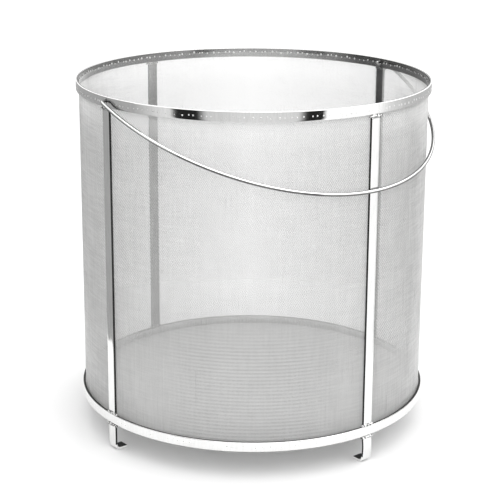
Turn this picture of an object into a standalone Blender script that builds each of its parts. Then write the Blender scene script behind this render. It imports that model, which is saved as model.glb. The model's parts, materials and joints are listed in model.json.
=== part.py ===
"""Stainless brewing basket: a woven wire cylinder held in a frame of flat bar, with a swinging bail handle.

Metres, +Z up. The origin is on the basket's own axis, on the surface that the feet stand on. The bail's
hinge axis runs along X, through the rim, and at rest the bail hangs down outside the basket on its -Y side.
"""

from math import atan2, cos, hypot, pi, radians, sin

import bmesh
import bpy
from mathutils import Matrix, Vector

# Driving dimensions
OUTER_RADIUS = 0.175
HEIGHT = 0.350
BAR_WIDTH = 0.010
BAR_THICKNESS = 0.0025
BAR_EDGE = 0.0004
STRAP_WIDTH = 0.011
UNDERSIDE = 0.027
CLOTH = 0.0003
CLOTH_LAP = 0.0058
PAN_FLANGE = 0.008
PAN_BEND = 0.0015
WIRE_RADIUS = 0.00175
PIVOT_DROP = 0.0042
BAIL_HALF_SPAN = 0.1796
BAIL_DROP = 0.0764
HOOK_LEG = 0.0062
HOOK_INSET = 0.0065
WIRE_BEND = 0.0030
FOOT_LENGTH = 0.014
FOOT_BEND = 0.0036
WELD_HEIGHT = 0.0018
WELD_PROUD = 0.0005
GAP = 0.0003

# Worked out from them
RIM_TOP = HEIGHT
RIM_BOTTOM = HEIGHT - BAR_WIDTH
RING_TOP = UNDERSIDE + BAR_WIDTH
BAR_INNER = OUTER_RADIUS - BAR_THICKNESS
CLOTH_OUTER = BAR_INNER - GAP
CLOTH_INNER = CLOTH_OUTER - CLOTH
CLOTH_TOP = RIM_BOTTOM + CLOTH_LAP
CLOTH_BOTTOM = UNDERSIDE + 0.0012
PAN_OUTER = CLOTH_INNER - GAP
PIVOT_HEIGHT = HEIGHT - PIVOT_DROP
HOLE_RADIUS = WIRE_RADIUS + 0.0004
WELD_SPACE = WELD_HEIGHT + 2 * GAP
STRAP_MIDDLE = OUTER_RADIUS + 0.0001 - BAR_THICKNESS / 2
BAIL_REACH = OUTER_RADIUS + 0.0001 + WIRE_RADIUS + 0.00045
BAIL_DEPTH = hypot(BAIL_REACH, BAIL_DROP)
BAIL_HANG = atan2(BAIL_DROP, BAIL_REACH)

RING_STEPS = 72
WIRE_STEP = 0.0085

# The four upright bars, named by where they stand, with the turn about Z from the +X side
SIDES = {"right": 0.0, "back": pi / 2, "left": pi, "front": -pi / 2}
FOOT_BOW = {"right": 0.0, "back": 0.0002, "left": 0.0, "front": 0.0008}

# Colour, roughness and metallic value
FINISHES = {
    "polished_bar": ((0.80, 0.80, 0.79), 0.16, 1.0),
    "bail_wire": ((0.84, 0.84, 0.83), 0.12, 1.0),
    "woven_cloth": ((0.70, 0.70, 0.69), 0.34, 1.0),
    "weld_bead": ((0.58, 0.57, 0.55), 0.42, 1.0),
}


def clear_scene():
    for obj in list(bpy.data.objects):
        bpy.data.objects.remove(obj)


def new_collection(name):
    collection = bpy.data.collections.new(name)
    bpy.context.scene.collection.children.link(collection)
    return collection


def finish_material(name):
    """The Principled material of that name, made on its first use."""
    found = bpy.data.materials.get(name)
    if found:
        return found
    colour, roughness, metallic = FINISHES[name]
    material = bpy.data.materials.new(name)
    material.use_nodes = True
    shader = material.node_tree.nodes["Principled BSDF"]
    shader.inputs["Base Color"].default_value = (*colour, 1.0)
    shader.inputs["Roughness"].default_value = roughness
    shader.inputs["Metallic"].default_value = metallic
    material.diffuse_color = (*colour, 1.0)
    return material


def add_object(name, data, finish, collection):
    obj = bpy.data.objects.new(name, data)
    collection.objects.link(obj)
    data.materials.append(finish_material(finish))
    return obj


def smooth(obj, degrees=35):
    obj.data.shade_smooth()
    obj.data.set_sharp_from_angle(angle=radians(degrees))


def turned(name, profile, finish, collection, on_axis=False):
    """A profile of (radius, height) points turned once about Z. It is closed unless both ends are on the axis."""
    form = bmesh.new()
    points = [form.verts.new((radius, 0, height)) for radius, height in profile]
    for first, second in zip(points, points[1:]):
        form.edges.new((first, second))
    if not on_axis:
        form.edges.new((points[-1], points[0]))
    mesh = bpy.data.meshes.new(name)
    form.to_mesh(mesh)
    form.free()
    obj = add_object(name, mesh, finish, collection)
    screw = obj.modifiers.new("turn", "SCREW")
    screw.steps = RING_STEPS
    screw.render_steps = RING_STEPS
    screw.use_merge_vertices = True
    screw.merge_threshold = 0.00001
    screw.use_smooth_shade = True
    return obj


def bar_section(outer, inner, bottom, top, edge):
    """A rectangle with its corners cut, from the top of the outer side down and round."""
    return [
        (outer, top - edge),
        (outer, bottom + edge),
        (outer - edge, bottom),
        (inner + edge, bottom),
        (inner, bottom + edge),
        (inner, top - edge),
        (inner + edge, top),
        (outer - edge, top),
    ]


def arc(centre, radius, start, end, steps):
    """Points on an arc about centre, both ends included, in degrees."""
    turn = [radians(start + (end - start) * i / steps) for i in range(steps + 1)]
    return [(centre[0] + radius * cos(a), centre[1] + radius * sin(a)) for a in turn]


def flat_bar(name, path, width, finish, collection):
    """A flat bar that follows path, (x, z) points on its middle line, with its width along Y."""
    form = bmesh.new()
    line = [form.verts.new((x, -width / 2, z)) for x, z in path]
    edges = [form.edges.new(pair) for pair in zip(line, line[1:])]
    swept = bmesh.ops.extrude_edge_only(form, edges=edges)
    moved = [item for item in swept["geom"] if isinstance(item, bmesh.types.BMVert)]
    bmesh.ops.translate(form, verts=moved, vec=(0, width, 0))
    bmesh.ops.recalc_face_normals(form, faces=form.faces)
    mesh = bpy.data.meshes.new(name)
    form.to_mesh(mesh)
    form.free()
    obj = add_object(name, mesh, finish, collection)
    solid = obj.modifiers.new("thickness", "SOLIDIFY")
    solid.thickness = BAR_THICKNESS
    solid.offset = 0
    solid.use_even_offset = True
    edge = obj.modifiers.new("edges", "BEVEL")
    edge.width = BAR_EDGE
    edge.segments = 1
    edge.limit_method = "ANGLE"
    edge.angle_limit = radians(50)
    smooth(obj)
    return obj


def make_hole_cutters(collection):
    """A round cutter on each side, on the bail's hinge axis."""
    made = []
    for side in ("left", "right"):
        form = bmesh.new()
        bmesh.ops.create_cone(
            form,
            cap_ends=True,
            segments=16,
            radius1=HOLE_RADIUS,
            radius2=HOLE_RADIUS,
            depth=4 * BAR_THICKNESS,
            matrix=Matrix.Rotation(pi / 2, 4, "Y"),
        )
        mesh = bpy.data.meshes.new(f"bail_hole_{side}")
        form.to_mesh(mesh)
        form.free()
        cutter = bpy.data.objects.new(mesh.name, mesh)
        collection.objects.link(cutter)
        cutter.location = (STRAP_MIDDLE * cos(SIDES[side]), 0, PIVOT_HEIGHT)
        cutter.hide_render = True
        cutter.display_type = "WIRE"
        made.append(cutter)
    return made


def drill(obj, cutters):
    for cutter in cutters:
        cut = obj.modifiers.new(cutter.name, "BOOLEAN")
        cut.operation = "DIFFERENCE"
        cut.object = cutter
    return obj


def make_rim(collection, cutters):
    """The top rim, with a hole through it for each end of the bail."""
    section = bar_section(OUTER_RADIUS, BAR_INNER, RIM_BOTTOM, RIM_TOP, BAR_EDGE)
    rim = turned("top_rim_ring", section, "polished_bar", collection)
    return drill(rim, cutters)


def make_bottom_ring(collection):
    section = bar_section(OUTER_RADIUS, BAR_INNER, UNDERSIDE, RING_TOP, BAR_EDGE)
    return turned("bottom_ring", section, "polished_bar", collection)


def make_wall(collection, cutters):
    """The woven wall, a tube of the cloth's own thickness. Its edges lap inside both rings, and the holes cut it."""
    section = [
        (CLOTH_OUTER, CLOTH_TOP),
        (CLOTH_OUTER, CLOTH_BOTTOM),
        (CLOTH_INNER, CLOTH_BOTTOM),
        (CLOTH_INNER, CLOTH_TOP),
    ]
    return drill(turned("mesh_wall", section, "woven_cloth", collection), cutters)


def make_floor(collection):
    """The woven floor, a disc whose edge is turned up inside the wall like a shallow pan."""
    bottom = CLOTH_BOTTOM
    flange_top = bottom + PAN_FLANGE
    inner = PAN_OUTER - CLOTH
    centre = (PAN_OUTER - PAN_BEND, bottom + PAN_BEND)
    profile = [(0, bottom + CLOTH)]
    profile += arc(centre, PAN_BEND - CLOTH, -90, 0, 2)
    profile += [(inner, flange_top), (PAN_OUTER, flange_top)]
    profile += arc(centre, PAN_BEND, 0, -90, 2)
    profile += [(0, bottom)]
    return turned("mesh_floor", profile, "woven_cloth", collection, on_axis=True)


def stand_at(obj, side):
    """Turns a piece that was made on the +X side to the side it belongs on."""
    obj.rotation_euler = (0, 0, SIDES[side])
    return obj


def make_strap(side, collection):
    """An upright bar between the rings, flush with their outer faces."""
    low = RING_TOP + WELD_SPACE
    high = RIM_BOTTOM - WELD_SPACE
    path = [(STRAP_MIDDLE, low), (STRAP_MIDDLE, high)]
    strap = flat_bar(f"strap_{side}", path, STRAP_WIDTH, "polished_bar", collection)
    return stand_at(strap, side)


def make_foot(side, collection):
    """A short bar below the bottom ring, bent inwards at the floor. It may bow out a little on its way down."""
    half = BAR_THICKNESS / 2
    top = UNDERSIDE - WELD_SPACE
    bend_radius = FOOT_BEND - half
    centre = (STRAP_MIDDLE - bend_radius, half + bend_radius)
    rise = top - centre[1]
    leg = []
    for i in range(4):
        share = i / 4
        bow = FOOT_BOW[side] * sin(pi * share)
        leg.append((STRAP_MIDDLE + bow, top - rise * share))
    bend = arc(centre, bend_radius, 0, -90, 4)
    tip = (STRAP_MIDDLE + half - FOOT_LENGTH, half)
    path = leg + bend + [tip]
    foot = flat_bar(f"foot_{side}", path, STRAP_WIDTH, "polished_bar", collection)
    return stand_at(foot, side)


def make_weld(name, side, middle, collection):
    """A weld bead filling the joint between a bar's end and a ring, a little proud all round."""
    form = bmesh.new()
    bmesh.ops.create_uvsphere(form, u_segments=10, v_segments=6, radius=0.5)
    for vertex in form.verts:
        for axis in range(3):
            share = 2 * vertex.co[axis]
            vertex.co[axis] = 0.5 * (abs(share) ** 0.45) * (1 if share > 0 else -1)
    size = (
        BAR_THICKNESS - GAP + WELD_PROUD,
        STRAP_WIDTH + WELD_PROUD,
        WELD_HEIGHT,
    )
    bmesh.ops.scale(form, vec=size, verts=form.verts)
    mesh = bpy.data.meshes.new(name)
    form.to_mesh(mesh)
    form.free()
    bead = add_object(name, mesh, "weld_bead", collection)
    smooth(bead, 60)
    out = STRAP_MIDDLE + (WELD_PROUD + GAP) / 2
    turn = SIDES[side]
    bead.location = (out * cos(turn), out * sin(turn), middle)
    return stand_at(bead, side)


def rounded(corners, radius, steps):
    """The corner points with each inner corner rounded to the radius."""
    points = [corners[0]]
    for before, corner, after in zip(corners, corners[1:], corners[2:]):
        back = (before - corner).normalized()
        ahead = (after - corner).normalized()
        half_angle = back.angle(ahead) / 2
        reach = radius / abs(sin(half_angle) / cos(half_angle))
        centre = corner + (back + ahead).normalized() * (radius / sin(half_angle))
        start = (corner + back * reach - centre).normalized()
        end = (corner + ahead * reach - centre).normalized()
        for i in range(steps + 1):
            points.append(centre + radius * start.slerp(end, i / steps))
    return points + [corners[-1]]


def bail_path():
    """The bail's middle line, flat in its own XY plane, with its hinge axis on X and its loop towards -Y."""
    hook_x = BAR_INNER - HOOK_INSET
    hook = [
        Vector((hook_x, -HOOK_LEG, 0)),
        Vector((hook_x, 0, 0)),
        Vector((BAIL_HALF_SPAN, 0, 0)),
        Vector((BAIL_HALF_SPAN, -2 * WIRE_BEND, 0)),
    ]
    right_end = rounded(hook, WIRE_BEND, 4)[:-1]
    steps = round(pi * BAIL_DEPTH / WIRE_STEP)
    loop = []
    for i in range(1, steps):
        turn = pi * i / steps
        if BAIL_DEPTH * sin(turn) > 1.6 * WIRE_BEND:
            loop.append(Vector((BAIL_HALF_SPAN * cos(turn), -BAIL_DEPTH * sin(turn), 0)))
    left_end = [Vector((-point.x, point.y, 0)) for point in reversed(right_end)]
    return right_end + loop + left_end


def make_bail(collection):
    """The wire handle. Its origin is on the hinge axis, which runs along X through both holes of the rim."""
    curve = bpy.data.curves.new("bail_handle", "CURVE")
    curve.dimensions = "3D"
    curve.bevel_depth = WIRE_RADIUS
    curve.bevel_resolution = 2
    curve.use_fill_caps = True
    points = bail_path()
    line = curve.splines.new("POLY")
    line.points.add(len(points) - 1)
    for slot, point in zip(line.points, points):
        slot.co = (*point, 1)
        slot.radius = 1
    line.use_smooth = True
    bail = add_object("bail_handle", curve, "bail_wire", collection)
    bail.location = (0, 0, PIVOT_HEIGHT)
    bail.rotation_euler = (BAIL_HANG, 0, 0)
    return bail


def build():
    clear_scene()
    basket = new_collection("brewing_basket")
    cutters = make_hole_cutters(new_collection("cutters"))
    make_rim(basket, cutters)
    make_bottom_ring(basket)
    make_wall(basket, cutters)
    make_floor(basket)
    half_space = WELD_SPACE / 2
    for side in SIDES:
        make_strap(side, basket)
        make_foot(side, basket)
        make_weld(f"weld_rim_{side}", side, RIM_BOTTOM - half_space, basket)
        make_weld(f"weld_ring_{side}", side, RING_TOP + half_space, basket)
        make_weld(f"weld_foot_{side}", side, UNDERSIDE - half_space, basket)
    make_bail(basket)


build()
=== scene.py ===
"""Visual model of a stainless brewing basket: woven wire cloth in a polished flat-bar frame and a wire bail.

Metres, +Z up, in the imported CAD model's frame. Every place is worked out from the CAD boxes and the hinge.
"""

import json
from math import atan2, cos, hypot, pi, radians, sin, tan, tau

import bmesh
import bpy
import numpy as np
from mathutils import Matrix, Vector, noise


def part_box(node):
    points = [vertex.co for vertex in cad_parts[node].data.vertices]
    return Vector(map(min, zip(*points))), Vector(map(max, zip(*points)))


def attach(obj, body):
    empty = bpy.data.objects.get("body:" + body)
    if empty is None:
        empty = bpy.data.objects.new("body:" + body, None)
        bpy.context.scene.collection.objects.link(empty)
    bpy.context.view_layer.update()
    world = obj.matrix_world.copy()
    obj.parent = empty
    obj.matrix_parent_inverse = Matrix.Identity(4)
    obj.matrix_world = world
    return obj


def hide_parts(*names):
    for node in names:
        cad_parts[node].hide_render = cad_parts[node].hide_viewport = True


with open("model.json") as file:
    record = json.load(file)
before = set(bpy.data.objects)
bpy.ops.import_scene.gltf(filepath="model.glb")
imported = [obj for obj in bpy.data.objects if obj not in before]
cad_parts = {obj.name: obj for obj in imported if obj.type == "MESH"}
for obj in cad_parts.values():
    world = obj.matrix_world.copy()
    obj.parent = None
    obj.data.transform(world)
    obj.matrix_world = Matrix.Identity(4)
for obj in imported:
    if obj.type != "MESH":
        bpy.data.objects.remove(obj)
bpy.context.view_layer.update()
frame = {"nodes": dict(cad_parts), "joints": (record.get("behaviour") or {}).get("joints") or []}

hinge = Vector(next(joint for joint in frame["joints"] if joint["name"] == "bail_swing")["pos_m"])

# Bars and rings. A bar's edges are rounded by BAR_EDGE, and its faces stand off by up to RIPPLE.
BAR_THICKNESS = 0.0025
BAR_EDGE = 0.0009
EDGE_STEPS = 4
FACE_STEPS = 5
END_SHRINK = 0.80
SHARP_ANGLE = radians(50)
RIPPLE = 0.00009
RIPPLE_LENGTH = 0.030
RING_STEPS = 360
STRAP_STEPS = 90
JOINT_OVERLAP = 0.0006
FOOT_BEND = 0.0060
LEG_STEPS, BEND_STEPS, PAD_STEPS = 16, 10, 8

# Woven cloth. Its wires are four-sided, and WIRE_FULLNESS makes them look as thick as round ones.
CLOTH_MIDDLE = 0.00015
WIRE_PITCH = 0.00050
WIRE_FULLNESS = 1.12
UPRIGHT_WIRE = 0.000170
UPRIGHT_STEPS = 8
HOOP_WIRE = 0.000060
HOOP_STEPS = 96
HOOP_PIECES = 4
CLOTH_LEAN = radians(4)
PITCH_DRIFT = 0.12
THREAD_SCALE = 620
THREAD_STRETCH = 0.06
THREAD_DEPTH = 0.22
# Painted moire: the height of the light and dark bands on the low front hoops, and the heights they fade out
# between
BEAT_HEIGHT = 0.0035
BEAT_FADE = (0.125, 0.150)
FLOOR_PITCH = 0.00095
FLOOR_WIRE = 0.00050
PAN_BEND = 0.0015
PAN_STEPS = 4

# Bail
BAIL_WIRE_RADIUS = 0.00175
HOOK_LEG = 0.0062
HOOK_INSET = 0.0065
WIRE_BEND = 0.0030
WIRE_BEND_STEPS = 10
BAIL_STEPS = 160
HOLE_RADIUS = BAIL_WIRE_RADIUS + 0.0004

# Welds. A spot's dome starts SPOT_SINK under the face it is on, and its closed back lies SPOT_ROOT under it.
SPOT_SPACING = 0.0058
SPOT_RADIUS = 0.00105
SPOT_HEIGHT = 0.00026
SPOT_SINK = 0.00008
SPOT_ROOT = 0.0002
BEAD_GROWTH = 1.35
BEAD_DROP = 0.0017
BEAD_DROP_HEIGHT = 0.00012
BEAD_NOISE = 0.00050
HEAT_REACH = 0.010

# Camera, in the basket's own terms
VIEW_AZIMUTH = radians(39.25)
CAMERA_DISTANCE = 1.41266
CAMERA_SIDESTEP = 0.00245
CAMERA_RISE = 0.25624
CAMERA_PITCH = 0.26160
CAMERA_ROLL = 0.0065
CAMERA_LENS = 104.238
CAMERA_SHIFT = (-0.0111, -0.11)

# Studio. LOW_ROUND is how bright it is level with the basket and below: (degrees round from the front,
# brightness) pairs.
FLOOR_RADIUS = 0.42
LOW_ROUND = (
    (-180, 0.60), (-172, 0.52), (-150, 0.42), (-104, 0.40), (-80, 0.45), (-60, 0.80), (-53, 0.85),
    (-50, 0.02), (-35, 0.02), (-29, 0.70), (0, 0.80), (28, 0.76), (33, 0.02), (44, 0.02),
    (46, 1.25), (84, 1.20), (96, 0.80), (112, 0.60), (150, 0.56), (180, 0.60),
)
WALL_SHARE = 0.38
CEILING_LEFT, CEILING_RIGHT = 1.30, 2.45
CEILING_FROM, CEILING_TO = 0.10, 0.52
BACKDROP = 1.21
FRONT_LIFT, BACK_DROP = 1.20, 0.80

# Painted shade: which ways the two sides of the basket painted darker face, and how dark each is, standing in
# for darker reflections there
SHADED_SIDES = ((radians(-11), 0.88), (radians(106), 0.50))

SIDES = {"right": 0.0, "back": pi / 2, "left": pi, "front": -pi / 2}


# ---------------------------------------------------------------- node helpers

def new_material(name):
    """An empty node material, and the tree to build it in."""
    material = bpy.data.materials.new(name)
    material.use_nodes = True
    tree = material.node_tree
    tree.nodes.clear()
    return material, tree


def maths(tree, operation, *values):
    """A Math node whose inputs are sockets or numbers."""
    made = tree.nodes.new("ShaderNodeMath")
    made.operation = operation
    for slot, value in enumerate(values):
        if isinstance(value, (int, float)):
            made.inputs[slot].default_value = value
        else:
            tree.links.new(value, made.inputs[slot])
    return made.outputs[0]


def spread(tree, value, low, high, start=0.0, end=1.0):
    """Maps a signal, read between start and end, onto low to high."""
    made = tree.nodes.new("ShaderNodeMapRange")
    made.inputs["From Min"].default_value = start
    made.inputs["From Max"].default_value = end
    made.inputs["To Min"].default_value = low
    made.inputs["To Max"].default_value = high
    tree.links.new(value, made.inputs["Value"])
    return made.outputs[0]


def noise_at(tree, vector, scale, detail=3.0, stretch=(1, 1, 1)):
    """Noise in object space, stretched along the axes."""
    mapping = tree.nodes.new("ShaderNodeMapping")
    mapping.inputs["Scale"].default_value = stretch
    tree.links.new(vector, mapping.inputs["Vector"])
    made = tree.nodes.new("ShaderNodeTexNoise")
    made.inputs["Scale"].default_value = scale
    made.inputs["Detail"].default_value = detail
    tree.links.new(mapping.outputs[0], made.inputs["Vector"])
    return made.outputs["Fac"]


def blend_colours(tree, factor, first, second):
    """A colour between two others, each a socket or a tuple."""
    made = tree.nodes.new("ShaderNodeMix")
    made.data_type = "RGBA"
    tree.links.new(factor, made.inputs["Factor"])
    for label, value in (("A", first), ("B", second)):
        socket = next(s for s in made.inputs if s.name == label and s.type == "RGBA")
        if isinstance(value, tuple):
            socket.default_value = (*value, 1.0)
        else:
            tree.links.new(value, socket)
    return next(s for s in made.outputs if s.type == "RGBA")


def split(tree, vector):
    """A vector's X, Y and Z as sockets."""
    made = tree.nodes.new("ShaderNodeSeparateXYZ")
    tree.links.new(vector, made.inputs[0])
    return made.outputs["X"], made.outputs["Y"], made.outputs["Z"]


def scaled(tree, vector, factor):
    """A vector made longer or shorter by a socket."""
    made = tree.nodes.new("ShaderNodeVectorMath")
    made.operation = "SCALE"
    tree.links.new(vector, made.inputs[0])
    tree.links.new(factor, made.inputs["Scale"])
    return made.outputs[0]


def reach_towards(tree, place, direction):
    """How far each place lies in a level direction, given as (x, y)."""
    made = tree.nodes.new("ShaderNodeVectorMath")
    made.operation = "DOT_PRODUCT"
    tree.links.new(place, made.inputs[0])
    made.inputs[1].default_value = (*direction, 0)
    return made.outputs["Value"]


def woven(tree, place, colour):
    """Lighter and darker threads both ways, as a slightly uneven weave has."""
    upright = noise_at(tree, place, THREAD_SCALE, 1.0, (1, 1, THREAD_STRETCH))
    level = noise_at(tree, place, THREAD_SCALE, 1.0, (THREAD_STRETCH, THREAD_STRETCH, 1))
    shade = spread(tree, maths(tree, "ADD", upright, level), 0.0, THREAD_DEPTH, 0.75, 1.25)
    return blend_colours(tree, shade, colour, (0.12, 0.12, 0.12))


def side_shade_at(tree, place):
    """How much painted shade each place gets, from 0 to 1, on the two sides of the basket that are painted
    darker.
    """
    total = None
    for side, depth in SHADED_SIDES:
        amount = spread(tree, reach_towards(tree, place, (cos(side), sin(side))), 0.0, depth, 0.125, 0.160)
        total = maths(tree, "MAXIMUM", amount, total) if total else amount
    return total


def side_shaded(tree, place, colour):
    """Painted shade: darkens a colour on two sides of the basket, standing in for their darker reflections.
    """
    return blend_colours(tree, side_shade_at(tree, place), colour, (0.06, 0.06, 0.058))


def wire_shaded(tree, place, colour):
    """Painted shade: darkens the wires that lie against the right strap, which hides the light behind them,
    and against the rim on the two sides painted darker.
    """
    x, y, z = split(tree, place)
    half_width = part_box("strap_right")[1].y
    beside = spread(tree, maths(tree, "ABSOLUTE", y), 1.0, 0.0, 0.9 * half_width, 1.1 * half_width)
    on_strap = maths(tree, "MULTIPLY", beside, spread(tree, x, 0.0, 0.95, 0.160, 0.165))
    rim_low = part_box("top_rim_ring")[0].z
    level = spread(tree, z, 0.0, 1.0, rim_low, rim_low + 0.0004)
    on_rim = maths(tree, "MULTIPLY", level, side_shade_at(tree, place))
    return blend_colours(tree, maths(tree, "MAXIMUM", on_strap, on_rim), colour, (0.11, 0.11, 0.11))


def moire_bands(tree, place, colour):
    """Painted moire: light and dark bands a few wires high, low on the front, standing in for the light and
    shade of fine cloth beating against more behind it.
    """
    height = split(tree, place)[2]
    wave = maths(tree, "SINE", maths(tree, "MULTIPLY", height, tau / BEAT_HEIGHT))
    light = spread(tree, wave, 0.0, 1.0, -1.0, 1.0)
    bands = blend_colours(tree, light, (0.06, 0.06, 0.06), (1.0, 1.0, 1.0))
    low = spread(tree, height, 1.0, 0.0, *BEAT_FADE)
    forward = reach_towards(tree, place, (-sin(VIEW_AZIMUTH), -cos(VIEW_AZIMUTH)))
    front = spread(tree, forward, 0.0, 1.0, 0.150, 0.166)
    return blend_colours(tree, maths(tree, "MULTIPLY", low, front), colour, bands)


def steel(name, dull, bright, roughness, grain, heat=0.0, bump=0.02, metal=1.0, shine=0.5,
          side_shade=False, wire_shade=False, pits=False, painted_moire=False, weave=False):
    """Stainless steel: mottled, with a roughness that varies with its grain and handling marks, and bump.

    dull and bright are the greys it wanders between, roughness its lowest and highest value, and grain the
    stretch of the fine marks. heat darkens and roughens it where the mesh's heat attribute is 1. metal is how
    metallic it is, and shine its gloss where it isn't. stain paints shade on two sides of the basket,
    standing in for their darker reflections, and soot paints shade on the wires that lie against the right
    strap and against the rim on those sides. pits scatters small dark pits. beat paints moire: light and dark
    bands on the low front hoops, standing in for the cloth behind showing through. weave makes single threads
    lighter and darker.
    """
    material, tree = new_material(name)
    place = tree.nodes.new("ShaderNodeTexCoord").outputs["Object"]
    broad = noise_at(tree, place, 38, 2.0)
    marks = noise_at(tree, place, 620, 4.0, grain)
    mottled = maths(tree, "MULTIPLY_ADD", broad, 0.6, spread(tree, marks, 0.0, 0.4, 0.3, 0.7))
    colour = blend_colours(tree, mottled, dull, bright)
    rough = spread(tree, maths(tree, "ADD", spread(tree, broad, 0.0, 0.5, 0.3, 0.7),
                               spread(tree, marks, 0.0, 0.5, 0.3, 0.7)), roughness[0], roughness[1])
    if heat:
        warmth = tree.nodes.new("ShaderNodeAttribute")
        warmth.attribute_name = "heat"
        patchy = maths(tree, "MULTIPLY", warmth.outputs["Fac"],
                       spread(tree, noise_at(tree, place, 420, 4.0), 0.2, 1.2, 0.35, 0.65))
        patchy = maths(tree, "MULTIPLY", patchy, heat)
        colour = blend_colours(tree, patchy, colour, (0.20, 0.19, 0.18))
        rough = maths(tree, "ADD", rough, spread(tree, patchy, 0.0, 0.25))
    if side_shade:
        colour = side_shaded(tree, place, colour)
    if weave:
        colour = woven(tree, place, colour)
    if painted_moire:
        colour = moire_bands(tree, place, colour)
    if wire_shade:
        colour = wire_shaded(tree, place, colour)
    if pits:
        deep = spread(tree, noise_at(tree, place, 700, 1.0), 0.0, 1.0, 0.49, 0.55)
        colour = blend_colours(tree, deep, colour, (0.10, 0.10, 0.10))
    shader = tree.nodes.new("ShaderNodeBsdfPrincipled")
    shader.inputs["Metallic"].default_value = metal
    shader.inputs["Specular IOR Level"].default_value = shine
    tree.links.new(colour, shader.inputs["Base Color"])
    tree.links.new(rough, shader.inputs["Roughness"])
    if bump:
        fine = noise_at(tree, place, 2600, 2.0, grain)
        relief = tree.nodes.new("ShaderNodeBump")
        relief.inputs["Strength"].default_value = bump
        relief.inputs["Distance"].default_value = 0.0004
        tree.links.new(maths(tree, "ADD", marks, maths(tree, "MULTIPLY", fine, 0.5)), relief.inputs["Height"])
        tree.links.new(relief.outputs["Normal"], shader.inputs["Normal"])
    output = tree.nodes.new("ShaderNodeOutputMaterial")
    tree.links.new(shader.outputs["BSDF"], output.inputs["Surface"])
    return material


def grey(value):
    """A steel grey, very slightly warm."""
    return (value, value, value * 0.993)


def make_materials():
    """Every material of the basket, by the short name the functions below know it by."""
    along_bar = (1, 1, 0.12)
    along_wire = (1, 1, 0.02)
    round_wire = (0.1, 1, 1)
    even = (1, 1, 1)
    cloth_greys = (grey(0.62), grey(0.79))
    return {
        "bar": steel("polished_bar", grey(0.76), grey(0.93), (0.03, 0.12), along_bar, heat=0.5, bump=0.008),
        # Painted shade: near black faces on the bars' edges, the base band's top and bottom, and the feet
        "shade_edge": steel("painted_shade_edge", grey(0.008), grey(0.05), (0.35, 0.55), along_bar, bump=0.05, metal=0.0,
                      shine=0.1),
        # Painted highlight: a near white, half metallic face for the rim's top and the feet's pad edges
        "highlight_edge": steel("painted_highlight_edge", grey(0.86), grey(0.97), (0.35, 0.55), along_bar, bump=0.0, metal=0.3),
        # inner_face: a duller finish, with painted shade making it darker still on two sides of the basket
        "inside": steel("inner_face", grey(0.46), grey(0.68), (0.10, 0.28), along_bar, bump=0.03, side_shade=True),
        "bail": steel("bail_wire", grey(0.80), grey(0.92), (0.05, 0.16), round_wire),
        # Painted shade: near black bands along the bail wire
        "bail_shade": steel("bail_painted_shade", grey(0.01), grey(0.32), (0.25, 0.45), round_wire),
        # Painted shade: woven_cloth and hoop_cloth darken the wires lying against the right strap and the rim
        "cloth": steel("woven_cloth", *cloth_greys, (0.26, 0.42), along_wire, bump=0.0, metal=0.2, wire_shade=True,
                       weave=True),
        # Painted moire: hoop_cloth has light and dark bands low on the front
        "hoops": steel("hoop_cloth", *cloth_greys, (0.26, 0.42), along_wire, bump=0.0, metal=0.2, wire_shade=True,
                       painted_moire=True),
        "floor": steel("floor_cloth", grey(0.64), grey(0.80), (0.30, 0.50), along_wire, bump=0.0, metal=0.35),
        "bead": steel("weld_bead", grey(0.80), grey(0.98), (0.14, 0.40), even, bump=0.2, pits=True),
        "spot": steel("spot_weld", grey(0.88), grey(0.98), (0.30, 0.55), even, bump=0.1),
    }


# ---------------------------------------------------------------- mesh helpers

def add_piece(name, mesh, material):
    """A piece of the basket made of a mesh, with its material and slot."""
    mesh.materials.append(material)
    piece = bpy.data.objects.new(name, mesh)
    bpy.context.scene.collection.objects.link(piece)
    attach(piece, "basket")
    return piece


def mesh_piece(name, verts, faces, material):
    """A smooth piece of the basket made of points and faces."""
    mesh = bpy.data.meshes.new(name)
    mesh.from_pydata([tuple(v) for v in verts], [], faces)
    mesh.validate()
    mesh.shade_smooth()
    return add_piece(name, mesh, material)


def sharpen(piece):
    """Breaks the smooth shading at edges sharper than SHARP_ANGLE."""
    piece.data.set_sharp_from_angle(angle=SHARP_ANGLE)


def bar_section(width):
    """A flat bar's section, counter-clockwise: (u, v) points, u through its thickness and v across it."""
    points = []
    corners = ((1, 1, 0), (-1, 1, 90), (-1, -1, 180), (1, -1, 270))
    for index, (sign_u, sign_v, start) in enumerate(corners):
        centre_u = sign_u * (BAR_THICKNESS / 2 - BAR_EDGE)
        centre_v = sign_v * (width / 2 - BAR_EDGE)
        for i in range(EDGE_STEPS + 1):
            turn = radians(start + 90 * i / EDGE_STEPS)
            points.append((centre_u + BAR_EDGE * cos(turn), centre_v + BAR_EDGE * sin(turn)))
        if index in (1, 3):
            last_v = points[-1][1]
            for i in range(1, FACE_STEPS):
                points.append((points[-1][0], last_v * (1 - 2 * i / FACE_STEPS)))
    return points


def ripple_at(x, y, z):
    """How far rolled bar stands off its true face at a point, smooth and repeatable."""
    return RIPPLE * noise.noise(Vector((x, y, z)) / RIPPLE_LENGTH)


def skin_faces(rows, columns, closed_rows):
    """Quads over a grid of rows by columns whose columns close round, and whose rows close too if asked."""
    faces = []
    for row in range(rows if closed_rows else rows - 1):
        this = row * columns
        following = ((row + 1) % rows) * columns
        for column in range(columns):
            after = (column + 1) % columns
            faces.append((this + column, following + column, following + after, this + after))
    return faces


# ---------------------------------------------------------------- rings, straps and feet

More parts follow.
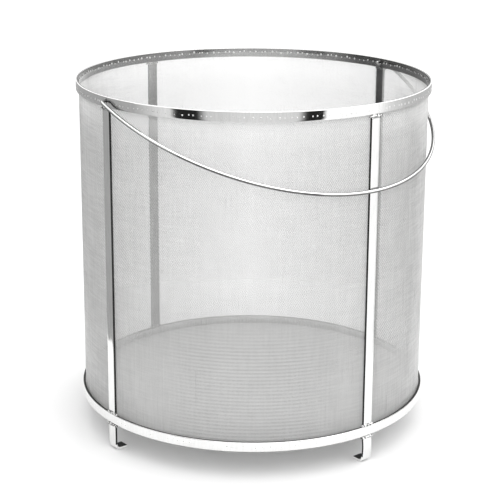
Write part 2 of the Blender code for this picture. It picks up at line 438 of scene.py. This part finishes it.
def heat_layer(piece, spots):
    """Marks each vertex with 1 at a weld, fading to 0 at HEAT_REACH from it."""
    layer = piece.data.attributes.new("heat", "FLOAT", "POINT")
    points = np.empty(len(piece.data.vertices) * 3)
    piece.data.vertices.foreach_get("co", points)
    points = points.reshape(-1, 3)
    near = np.full(len(points), np.inf)
    for spot in spots:
        near = np.minimum(near, np.linalg.norm(points - np.array(spot), axis=1))
    layer.data.foreach_set("value", np.clip(1 - near / HEAT_REACH, 0, 1) ** 1.5)


def make_band(name, cad_node, material, spots):
    """A rolled ring of flat bar with rounded edges and a slight ripple."""
    low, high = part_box(cad_node)
    outer = high.x
    middle = outer - BAR_THICKNESS / 2
    centre_z = (low.z + high.z) / 2
    section = bar_section(high.z - low.z)
    verts = []
    for i in range(RING_STEPS):
        turn = tau * i / RING_STEPS
        for u, v in section:
            x, y, z = (middle + u) * cos(turn), (middle + u) * sin(turn), centre_z + v
            radius = middle + u + ripple_at(x, y, 2 * z)
            verts.append((radius * cos(turn), radius * sin(turn), z))
    faces = [face[::-1] for face in skin_faces(RING_STEPS, len(section), closed_rows=True)]
    band = mesh_piece(name, verts, faces, material)
    sharpen(band)
    heat_layer(band, spots)
    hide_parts(cad_node)
    return band


def drill_bail_holes(band):
    """Cuts a round hole through the rim for each end of the bail."""
    for turn in (0.0, pi):
        form = bmesh.new()
        bmesh.ops.create_cone(form, cap_ends=True, segments=48, radius1=HOLE_RADIUS, radius2=HOLE_RADIUS,
                              depth=4 * BAR_THICKNESS, matrix=Matrix.Rotation(pi / 2, 4, "Y"))
        mesh = bpy.data.meshes.new("hole")
        form.to_mesh(mesh)
        form.free()
        cutter = bpy.data.objects.new("hole", mesh)
        bpy.context.scene.collection.objects.link(cutter)
        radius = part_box("top_rim_ring")[1].x
        cutter.location = (radius * cos(turn), 0, hinge.z)
        cut = band.modifiers.new("hole", "BOOLEAN")
        cut.object = cutter
        bpy.context.view_layer.update()
        bpy.context.view_layer.objects.active = band
        bpy.ops.object.modifier_apply(modifier=cut.name)
        bpy.data.objects.remove(cutter)


def directions(side):
    """The ways outwards and along the ring at a side of the basket."""
    turn = SIDES[side]
    return Vector((cos(turn), sin(turn), 0)), Vector((-sin(turn), cos(turn), 0))


def sweep_bar(name, cad_node, side, path, width, material, spots):
    """A flat bar along (radius, height) points, turned to its side of the basket, its ends closed."""
    section = bar_section(width)
    out, along = directions(side)
    points = [Vector(p) for p in path]
    rows = []
    for i, point in enumerate(points):
        ahead = points[min(i + 1, len(points) - 1)]
        behind = points[max(i - 1, 0)]
        forward = (ahead - behind).normalized()
        across = Vector((-forward.y, forward.x))
        rows.append((point, across))
    verts = []
    last = len(rows) - 1
    for i, (point, across) in enumerate(rows):
        shrink = END_SHRINK if i in (0, last) else 1.0
        for u, v in section:
            radius = point.x + across.x * u * shrink
            height = point.y + across.y * u * shrink
            spot = out * radius + along * (v * shrink) + Vector((0, 0, height))
            verts.append(spot + out * ripple_at(*spot))
    columns = len(section)
    faces = skin_faces(len(rows), columns, closed_rows=False)
    faces.append(tuple(range(columns)))
    faces.append(tuple(last * columns + c for c in reversed(range(columns))))
    bar = mesh_piece(name, verts, faces, material)
    fix_normals(bar)
    sharpen(bar)
    heat_layer(bar, spots)
    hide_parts(cad_node)
    return bar


def give_faces(piece, material, chosen):
    """Gives the faces that chosen(normal, centre) picks another material."""
    piece.data.materials.append(material)
    for face in piece.data.polygons:
        if chosen(face.normal, face.center):
            face.material_index = len(piece.data.materials) - 1


def fix_normals(piece):
    """Turns every face outwards."""
    form = bmesh.new()
    form.from_mesh(piece.data)
    bmesh.ops.recalc_face_normals(form, faces=form.faces)
    form.to_mesh(piece.data)
    form.free()


def side_span(cad_node, side):
    """A node's reach on its own side: lowest and highest radius, width, and lowest and highest point."""
    low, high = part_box(cad_node)
    axis = 0 if side in ("left", "right") else 1
    sign = 1 if side in ("right", "back") else -1
    radii = sorted((sign * low[axis], sign * high[axis]))
    width = high[1 - axis] - low[1 - axis]
    return radii[0], radii[1], width, low.z, high.z


def with_rounded_ends(path):
    """Adds a point just inside each end, so that the end's edge is a small chamfer."""
    first, second = Vector(path[0]), Vector(path[1])
    before, last = Vector(path[-2]), Vector(path[-1])
    near_first = first + (second - first).normalized() * BAR_EDGE * 0.5
    near_last = last + (before - last).normalized() * BAR_EDGE * 0.5
    return [path[0], tuple(near_first), *path[1:-1], tuple(near_last), path[-1]]


def make_strap(side, material, edge, inside, spots):
    """An upright flat bar outside the cloth, its edge faces painted near black as shade, and a duller inner
    face that carries the painted side shade.
    """
    inner, outer, width, bottom, top = side_span(f"strap_{side}", side)
    middle = (inner + outer) / 2
    start = bottom - JOINT_OVERLAP
    length = top + JOINT_OVERLAP - start
    path = with_rounded_ends([(middle, start + length * i / STRAP_STEPS) for i in range(STRAP_STEPS + 1)])
    strap = sweep_bar(f"side_strap_{side}", f"strap_{side}", side, path, width, material, spots)
    out, along = directions(side)
    # Painted shade: the strap's edge faces are near black
    give_faces(strap, edge, lambda normal, centre: abs(normal.dot(along)) > 0.35)
    give_faces(strap, inside, lambda normal, centre: normal.dot(out) < -0.9)


def make_foot(side, material, edge, highlight_edge, spots):
    """A short bar that comes down from the ring, may bow a little, and is bent inwards along the floor."""
    tip, outer, width, _, top = side_span(f"foot_{side}", side)
    half = BAR_THICKNESS / 2
    straight = side_span(f"strap_{side}", side)[1] - half
    bow = max(0.0, outer - half - straight)
    bend_radius = FOOT_BEND - half
    centre = (straight - bend_radius, half + bend_radius)
    rise = top - centre[1]
    leg = []
    for i in range(LEG_STEPS):
        share = i / LEG_STEPS
        leg.append((straight + bow * sin(pi * share), top - rise * share))
    leg[0] = (leg[0][0], top + JOINT_OVERLAP)
    bend = [(centre[0] + bend_radius * cos(turn), centre[1] - bend_radius * sin(turn))
            for turn in (pi / 2 * i / BEND_STEPS for i in range(BEND_STEPS + 1))]
    end = tip + BAR_EDGE * 0.2
    pad = [(centre[0] + (end - centre[0]) * i / PAD_STEPS, half) for i in range(1, PAD_STEPS + 1)]
    path = with_rounded_ends(leg + bend + pad)
    foot = sweep_bar(f"bent_foot_{side}", f"foot_{side}", side, path, width, material, spots)
    out, along = directions(side)

    # Painted shade: the leg's sides, the foot's inner faces and the pad's top are near black
    def in_painted_shade(normal, centre):
        on_leg = abs(normal.dot(along)) > 0.8 and centre.z > FOOT_BEND
        return on_leg or normal.dot(out) < -0.3 or normal.z > 0.6

    # Painted highlight: the pad's edges are near white
    def on_pad_edge(normal, centre):
        at_rim = abs(normal.dot(along)) > 0.6 or centre.dot(out) < tip + BAR_EDGE
        return at_rim and centre.z < FOOT_BEND and abs(normal.z) < 0.8

    give_faces(foot, edge, in_painted_shade)
    give_faces(foot, highlight_edge, on_pad_edge)


def make_bead(cad_node, material):
    """A weld bead: a rounded fillet laid in small overlapping drops, uneven along its length."""
    low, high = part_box(cad_node)
    middle = (low + high) / 2
    size = (high - low) * BEAD_GROWTH
    side = cad_node.rsplit("_", 1)[1]
    along = 1 if side in ("left", "right") else 0
    form = bmesh.new()
    bmesh.ops.create_icosphere(form, subdivisions=5, radius=0.5)
    for vertex in form.verts:
        place = Vector(vertex.co)
        for axis in range(3):
            share = 2 * place[axis]
            power = 0.55 if axis == along else 0.8
            vertex.co[axis] = 0.5 * (abs(share) ** power) * (1 if share > 0 else -1) * size[axis]
        spot = vertex.co + middle
        drops = BEAD_DROP_HEIGHT * sin(spot[along] * tau / BEAD_DROP + 9 * noise.noise(spot * 300))
        rough = BEAD_NOISE * noise.fractal(spot * 700, 0.6, 2.0, 3)
        vertex.co += place.normalized() * (drops + rough)
    bmesh.ops.translate(form, vec=middle, verts=form.verts)
    name = f"bead_{cad_node.removeprefix('weld_')}"
    mesh = bpy.data.meshes.new(name)
    form.to_mesh(mesh)
    form.free()
    mesh.shade_smooth()
    bead = add_piece(name, mesh, material)
    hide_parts(cad_node)


def spot_weld_row(name, radius, outwards, height, material, wander, dome, seed):
    """A row of spot-weld marks round a ring: shallow domes, unevenly spaced, on one of its faces.

    None is made over the bail's holes.
    """
    random = np.random.default_rng(seed)
    count = int(tau * radius / SPOT_SPACING)
    rings, around = 4, 12
    verts, faces = [], []
    for i in range(count):
        turn = tau * (i + random.uniform(-0.32, 0.32)) / count
        z = height + random.normal(0, wander)
        reach = SPOT_RADIUS * random.uniform(0.6, 1.15)
        rise = dome * random.uniform(0.6, 1.2)
        if hypot(radius * sin(turn), z - hinge.z) < HOLE_RADIUS + reach:
            continue
        base = len(verts)
        for ring in range(rings):
            share = 1 - ring / rings
            stand = rise * (1 - share * share) - SPOT_SINK
            for k in range(around):
                spin = tau * k / around
                offset = turn + reach * share * cos(spin) / radius
                r = radius + outwards * stand
                verts.append((r * cos(offset), r * sin(offset), z + reach * share * sin(spin)))
        top = len(verts)
        r = radius + outwards * (rise - SPOT_SINK)
        verts.append((r * cos(turn), r * sin(turn), z))
        under = len(verts)
        r = radius - outwards * SPOT_ROOT
        verts.append((r * cos(turn), r * sin(turn), z))
        for ring in range(rings - 1):
            for k in range(around):
                a = base + ring * around + k
                b = base + ring * around + (k + 1) % around
                faces.append((a, b, b + around, a + around))
        last = base + (rings - 1) * around
        for k in range(around):
            faces.append((last + k, last + (k + 1) % around, top))
            faces.append((base + (k + 1) % around, base + k, under))
    if outwards < 0:
        faces = [face[::-1] for face in faces]
    mesh_piece(name, verts, faces, material)


# ---------------------------------------------------------------- woven cloth

def wire_mesh(name, paths, offsets_a, offsets_b, diameter, material, closed):
    """Many wires in one mesh, each laid out as a strip of its UV map.

    paths is (wires, points, 3), and the offsets are two unit vectors square to each wire.
    """
    wires, points, _ = paths.shape
    half = diameter / 2 * WIRE_FULLNESS
    corners = np.stack([paths + half * offsets_a, paths + half * offsets_b,
                        paths - half * offsets_a, paths - half * offsets_b], axis=2)
    verts = corners.reshape(-1, 3)
    spans = points if closed else points - 1
    wire, span, corner = np.meshgrid(np.arange(wires), np.arange(spans), np.arange(4), indexing="ij")
    here = (wire * points + span) * 4
    there = (wire * points + (span + 1) % points) * 4
    after = (corner + 1) % 4
    quads = np.stack([here + corner, there + corner, there + after, here + after], axis=-1).reshape(-1, 4)
    along = np.stack([span, span + 1, span + 1, span], axis=-1) / spans
    around = (wire[..., None] + np.stack([corner, corner, corner + 1, corner + 1], axis=-1) / 4) / wires
    places = np.stack([along, around], axis=-1).reshape(-1, 2)
    if not closed:
        start = np.arange(wires)[:, None] * points * 4
        finish = start + (points - 1) * 4
        caps = np.concatenate([start + np.arange(4), finish + np.arange(3, -1, -1)])
        quads = np.concatenate([quads, caps])
        cap_places = np.tile(((0, 0), (0.001, 0), (0.001, 0.001), (0, 0.001)), (len(caps), 1))
        places = np.concatenate([places, cap_places])
    mesh = bpy.data.meshes.new(name)
    mesh.vertices.add(len(verts))
    mesh.vertices.foreach_set("co", verts.astype(np.float32).ravel())
    mesh.loops.add(quads.size)
    mesh.loops.foreach_set("vertex_index", quads.astype(np.int32).ravel())
    mesh.polygons.add(len(quads))
    mesh.polygons.foreach_set("loop_start", np.arange(0, quads.size, 4, dtype=np.int32))
    mesh.polygons.foreach_set("use_smooth", np.ones(len(quads), bool))
    mesh.update()
    mesh.uv_layers.new(name="OFBake").data.foreach_set("uv", places.astype(np.float32).ravel())
    mesh.validate()
    return add_piece(name, mesh, material)


def drift(count, strength, seed):
    """A slow wander of the wires' spacing, in pitches, made of a few sines so that it closes on itself."""
    random = np.random.default_rng(seed)
    share = np.arange(count) / count
    wander = np.zeros(count)
    for waves in (7, 13, 29, 61, 97, 151):
        wander += np.sin(tau * (waves * share + random.uniform())) * strength * 8 / waves
    return wander


def make_wall(material, hoop_material):
    """The wall: upright wires, and hoops that pass them alternately outside and inside.

    The uprights stop short at the bail's holes, and the hoops below them. The hoops' straight spans are set
    out a little, to keep to the circle on average.
    """
    low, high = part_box("mesh_wall")
    radius = high.x - CLOTH_MIDDLE
    count = round(tau * radius / WIRE_PITCH)
    turns = (np.arange(count) + drift(count, PITCH_DRIFT, seed=3)) * tau / count
    hole = HOLE_RADIUS + UPRIGHT_WIRE
    off_hole = radius * np.sin(turns + high.z * tan(CLOTH_LEAN) / radius)
    under_hole = hinge.z - np.sqrt(np.maximum(hole ** 2 - off_hole ** 2, 0.0))
    tops = np.where(np.abs(off_hole) < hole, under_hole, high.z)
    climb = low.z + (tops[:, None] - low.z) * np.linspace(0.0, 1.0, UPRIGHT_STEPS + 1)
    spins = turns[:, None] + climb * tan(CLOTH_LEAN) / radius
    level = np.zeros_like(spins)
    outward = np.stack([np.cos(spins), np.sin(spins), level], axis=-1)
    sideways = np.stack([-np.sin(spins), np.cos(spins), level], axis=-1)
    paths = outward * radius
    paths[:, :, 2] = climb
    corner_a = (outward + sideways) / 2 ** 0.5
    corner_b = (sideways - outward) / 2 ** 0.5
    name = "wall_upright_wires"
    uprights = wire_mesh(name, paths, corner_a, corner_b, UPRIGHT_WIRE, material, closed=False)
    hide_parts("mesh_wall")
    count = int((high.z - low.z) / WIRE_PITCH)
    heights = low.z + (np.arange(count) + 0.5 + drift(count, PITCH_DRIFT, seed=5)) * (high.z - low.z) / count
    heights = heights[heights < hinge.z - hole]
    share = -(-count // HOOP_PIECES)
    spin = tau * np.arange(HOOP_STEPS) / HOOP_STEPS
    out = np.stack([np.cos(spin), np.sin(spin), np.zeros(HOOP_STEPS)], axis=-1)
    true_radius = radius / cos(pi / HOOP_STEPS / 1.5)
    for index in range(HOOP_PIECES):
        own = heights[index * share:(index + 1) * share]
        side = np.where(np.arange(len(own)) % 2 == 0, 1.0, -1.0)
        reach = true_radius + side * (UPRIGHT_WIRE + HOOP_WIRE) / 2
        paths = out[None] * reach[:, None, None]
        paths[:, :, 2] = own[:, None]
        offsets_a = np.broadcast_to(out[None], paths.shape)
        offsets_b = np.broadcast_to(np.array([0.0, 0.0, 1.0]), paths.shape)
        name = f"wall_hoop_wires_{index + 1}"
        hoops = wire_mesh(name, paths, offsets_a, offsets_b, HOOP_WIRE, hoop_material, closed=True)
        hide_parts("mesh_wall")


def make_floor_cloth(material):
    """The floor: a square weave whose wires are turned up at the edge, like a shallow pan."""
    low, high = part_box("mesh_floor")
    radius = high.x - FLOOR_WIRE
    level = low.z + CLOTH_MIDDLE
    count = int(2 * radius / FLOOR_PITCH)
    places = (np.arange(count) + 0.5 + 0.5 * drift(count, PITCH_DRIFT, seed=11)) * 2 * radius / count - radius
    places = places[np.abs(places) < radius * 0.999]
    reach = np.sqrt(radius ** 2 - places ** 2)
    bend = np.minimum(PAN_BEND, reach * 0.5)
    turns = [pi / 2 * i / PAN_STEPS for i in range(PAN_STEPS + 1)]
    right = [np.stack([reach, np.full_like(reach, high.z)], axis=-1)]
    for turn in turns:
        across = reach - bend + bend * cos(turn)
        down = level + bend - bend * sin(turn)
        right.append(np.stack([across, down], axis=-1))
    right = np.stack(right, axis=1)
    left = right[:, ::-1].copy()
    left[:, :, 0] *= -1
    line = np.concatenate([right, left], axis=1)
    forward = np.gradient(line, axis=1)
    forward /= np.linalg.norm(forward, axis=-1, keepdims=True)
    square = np.stack([-forward[:, :, 1], forward[:, :, 0]], axis=-1)
    side = np.where(np.arange(len(places)) % 2 == 0, 1.0, -1.0)[:, None]
    for name, swap, lift in (("floor_wires_x", False, 0.0), ("floor_wires_y", True, FLOOR_WIRE)):
        paths = np.zeros((len(places), line.shape[1], 3))
        normals = np.zeros_like(paths)
        sideways = np.zeros_like(paths)
        first, second = (1, 0) if swap else (0, 1)
        paths[:, :, first] = line[:, :, 0] + lift * side * square[:, :, 0]
        paths[:, :, second] = places[:, None]
        paths[:, :, 2] = line[:, :, 1] + lift * side * square[:, :, 1]
        normals[:, :, first] = square[:, :, 0]
        normals[:, :, 2] = square[:, :, 1]
        sideways[:, :, second] = 1.0
        piece = wire_mesh(name, paths, normals, sideways, FLOOR_WIRE, material, closed=False)
        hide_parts("mesh_floor")


# ---------------------------------------------------------------- bail

def rounded_corners(corners, radius, steps):
    """The corner points with each inner corner rounded to the radius."""
    points = [corners[0]]
    for before, corner, after in zip(corners, corners[1:], corners[2:]):
        back = (before - corner).normalized()
        ahead = (after - corner).normalized()
        half_angle = back.angle(ahead) / 2
        reach = radius * cos(half_angle) / sin(half_angle)
        centre = corner + (back + ahead).normalized() * (radius / sin(half_angle))
        start = (corner + back * reach - centre).normalized()
        end = (corner + ahead * reach - centre).normalized()
        for i in range(steps + 1):
            points.append(centre + radius * start.slerp(end, i / steps))
    return points + [corners[-1]]


def make_bail(material, shade_material):
    """The wire handle, hooked through the rim at both ends and hanging down outside the front.

    Painted shade: its underside, a line along its top, and the side towards the basket are painted near
    black, standing in for the dark reflections along the wire.
    """
    low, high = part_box("bail_handle")
    half_span = high.x - BAIL_WIRE_RADIUS
    reach = -low.y - BAIL_WIRE_RADIUS
    drop = hinge.z - low.z - BAIL_WIRE_RADIUS
    hang = atan2(drop, reach)
    depth = hypot(drop, reach)
    hook_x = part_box("top_rim_ring")[1].x - BAR_THICKNESS - HOOK_INSET
    hook = [
        Vector((hook_x, -HOOK_LEG, 0)),
        Vector((hook_x, 0, 0)),
        Vector((half_span, 0, 0)),
        Vector((half_span, -2 * WIRE_BEND, 0)),
    ]
    right_end = rounded_corners(hook, WIRE_BEND, WIRE_BEND_STEPS)[:-1]
    loop = []
    for i in range(1, BAIL_STEPS):
        turn = pi * i / BAIL_STEPS
        if depth * sin(turn) > 1.6 * WIRE_BEND:
            loop.append(Vector((half_span * cos(turn), -depth * sin(turn), 0)))
    left_end = [Vector((-p.x, p.y, 0)) for p in reversed(right_end)]
    curve = bpy.data.curves.new("bail_wire", "CURVE")
    curve.dimensions = "3D"
    curve.bevel_depth = BAIL_WIRE_RADIUS
    curve.bevel_resolution = 6
    curve.use_fill_caps = True
    points = right_end + loop + left_end
    spline = curve.splines.new("POLY")
    spline.points.add(len(points) - 1)
    swing = Matrix.Translation(hinge) @ Matrix.Rotation(hang, 4, "X")
    for slot, point in zip(spline.points, points):
        slot.co = (*(swing @ point), 1)
    spline.use_smooth = True
    curve.materials.append(material)
    bail = bpy.data.objects.new("bail_wire", curve)
    bpy.context.scene.collection.objects.link(bail)
    bpy.context.view_layer.objects.active = bail
    bail.select_set(True)
    bpy.ops.object.convert(target="MESH")
    bail.select_set(False)

    # Painted shade: picks the bail's faces that are painted near black
    def in_bail_shade(normal, centre):
        outwards = normal.xy.dot(centre.xy.normalized())
        near_hook = centre.z > hinge.z - 0.02
        return normal.z < 0.0 or normal.z > 0.88 or outwards < (0.1 if near_hook else -0.45)

    give_faces(bail, shade_material, in_bail_shade)
    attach(bail, "bail")
    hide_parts("bail_handle")


# ---------------------------------------------------------------- studio

def make_floor_stage():
    """A round sheet of white board that the basket stands on."""
    bpy.ops.mesh.primitive_circle_add(vertices=128, radius=FLOOR_RADIUS, fill_type="NGON")
    board = bpy.context.object
    board.name = "studio_floor"
    material, tree = new_material("white_board")
    place = tree.nodes.new("ShaderNodeTexCoord").outputs["Object"]
    shader = tree.nodes.new("ShaderNodeBsdfPrincipled")
    shader.inputs["Roughness"].default_value = 0.85
    tint = blend_colours(tree, noise_at(tree, place, 9), (0.76, 0.76, 0.76), (0.79, 0.79, 0.79))
    tree.links.new(tint, shader.inputs["Base Color"])
    output = tree.nodes.new("ShaderNodeOutputMaterial")
    tree.links.new(shader.outputs["BSDF"], output.inputs["Surface"])
    board.data.materials.append(material)


def ramp(tree, factor, stops):
    """A colour ramp through (position, brightness) stops."""
    made = tree.nodes.new("ShaderNodeValToRGB")
    elements = made.color_ramp.elements
    while len(elements) > 1:
        elements.remove(elements[-1])
    elements[0].position = stops[0][0]
    elements[0].color = (*(stops[0][1],) * 3, 1)
    for position, brightness in stops[1:]:
        added = elements.new(position)
        added.color = (brightness, brightness, brightness, 1)
    tree.links.new(factor, made.inputs["Fac"])
    return made.outputs["Color"]


def make_studio_light():
    """Soft light all round: a bright ceiling, and darker walls with gaps between their panels low down.

    Past the basket the camera sees BACKDROP, as bright as the lit board, so the board's edge doesn't show.
    """
    world = bpy.data.worlds.new("studio")
    bpy.context.scene.world = world
    world.use_nodes = True
    tree = world.node_tree
    tree.nodes.clear()
    direction = tree.nodes.new("ShaderNodeTexCoord").outputs["Generated"]
    turned = tree.nodes.new("ShaderNodeMapping")
    turned.inputs["Rotation"].default_value = (0, 0, VIEW_AZIMUTH)
    tree.links.new(direction, turned.inputs["Vector"])
    x, y, z = split(tree, turned.outputs[0])
    angle = maths(tree, "ARCTAN2", x, maths(tree, "MULTIPLY", y, -1.0))
    share = spread(tree, angle, 0.0, 1.0, -pi, pi)
    low = ramp(tree, share, [((degrees + 180) / 360, brightness) for degrees, brightness in LOW_ROUND])
    walls = scaled(tree, low, spread(tree, z, 1.0, WALL_SHARE, -0.02, 0.05))
    from_left = spread(tree, x, 0.0, 1.0, -0.8, 0.8)
    ceiling = blend_colours(tree, from_left, (CEILING_LEFT,) * 3, (CEILING_RIGHT,) * 3)
    sky = scaled(tree, ceiling, spread(tree, y, FRONT_LIFT, BACK_DROP, -0.7, 0.7))
    lit = blend_colours(tree, spread(tree, z, 0.0, 1.0, CEILING_FROM, CEILING_TO), walls, sky)
    path = tree.nodes.new("ShaderNodeLightPath")
    shown = blend_colours(tree, path.outputs["Is Camera Ray"], lit, (BACKDROP,) * 3)
    background = tree.nodes.new("ShaderNodeBackground")
    tree.links.new(shown, background.inputs["Color"])
    output = tree.nodes.new("ShaderNodeOutputWorld")
    tree.links.new(background.outputs[0], output.inputs["Surface"])
    bpy.context.scene.view_settings.view_transform = "Standard"


def make_camera():
    """The camera, at the height, distance and tilt that show the basket as a buyer would see it."""
    data = bpy.data.cameras.new("camera")
    data.sensor_width = 36
    data.lens = CAMERA_LENS
    data.shift_x, data.shift_y = CAMERA_SHIFT
    camera = bpy.data.objects.new("camera", data)
    bpy.context.scene.collection.objects.link(camera)
    ahead = Vector((sin(VIEW_AZIMUTH), cos(VIEW_AZIMUTH), 0))
    right = Vector((cos(VIEW_AZIMUTH), -sin(VIEW_AZIMUTH), 0))
    rim_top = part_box("top_rim_ring")[1].z
    height = Vector((0, 0, rim_top + CAMERA_RISE))
    camera.location = right * CAMERA_SIDESTEP - ahead * CAMERA_DISTANCE + height
    forward = ahead * cos(CAMERA_PITCH) - Vector((0, 0, sin(CAMERA_PITCH)))
    up = right.cross(forward)
    rolled_right = right * cos(CAMERA_ROLL) + up * sin(CAMERA_ROLL)
    rolled_up = up * cos(CAMERA_ROLL) - right * sin(CAMERA_ROLL)
    axes = Matrix((rolled_right, rolled_up, -forward)).transposed()
    camera.rotation_mode = "QUATERNION"
    camera.rotation_quaternion = axes.to_quaternion()
    bpy.context.scene.camera = camera


def build():
    """Makes the camera and studio, then every piece of the basket."""
    make_camera()
    make_floor_stage()
    make_studio_light()
    materials = make_materials()
    welds = sorted(name for name in frame["nodes"] if name.startswith("weld_"))
    spots = [(low + high) / 2 for low, high in map(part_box, welds)]
    rim = make_band("rim_band", "top_rim_ring", materials["bar"], spots)
    drill_bail_holes(rim)
    give_faces(rim, materials["inside"], lambda normal, centre: normal.xy.dot(centre.xy) < -0.1)
    # Painted highlight: the rim's top face is near white
    give_faces(rim, materials["highlight_edge"],
               lambda normal, centre: normal.z > 0.2 and normal.xy.dot(centre.xy) > 0.03)
    base = make_band("base_band", "bottom_ring", materials["bar"], spots)
    # Painted shade: the base band's top and bottom faces are near black
    give_faces(base, materials["shade_edge"], lambda normal, centre: normal.z > 0.25 or normal.z < -0.8)
    for side in SIDES:
        make_strap(side, materials["bar"], materials["shade_edge"], materials["inside"], spots)
        make_foot(side, materials["bar"], materials["shade_edge"], materials["highlight_edge"], spots)
    for name in welds:
        make_bead(name, materials["bead"])
    rim_low, rim_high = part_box("top_rim_ring")
    ring_low, ring_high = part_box("bottom_ring")
    outer = rim_high.x
    inner = outer - BAR_THICKNESS - 0.0004
    seam = rim_low.z + 0.42 * (rim_high.z - rim_low.z)
    middle = (ring_low.z + ring_high.z) / 2
    spot = materials["spot"]
    spot_weld_row("rim_spot_welds_outer", outer, 1, seam, spot, 0.0005, SPOT_HEIGHT, seed=21)
    spot_weld_row("rim_spot_welds_inner", inner, -1, seam + 0.0012, spot, 0.0004, SPOT_HEIGHT, seed=22)
    spot_weld_row("base_spot_welds_outer", outer, 1, middle, spot, 0.0004, SPOT_HEIGHT / 2, seed=23)
    make_wall(materials["cloth"], materials["hoops"])
    make_floor_cloth(materials["floor"])
    make_bail(materials["bail"], materials["bail_shade"])


build()
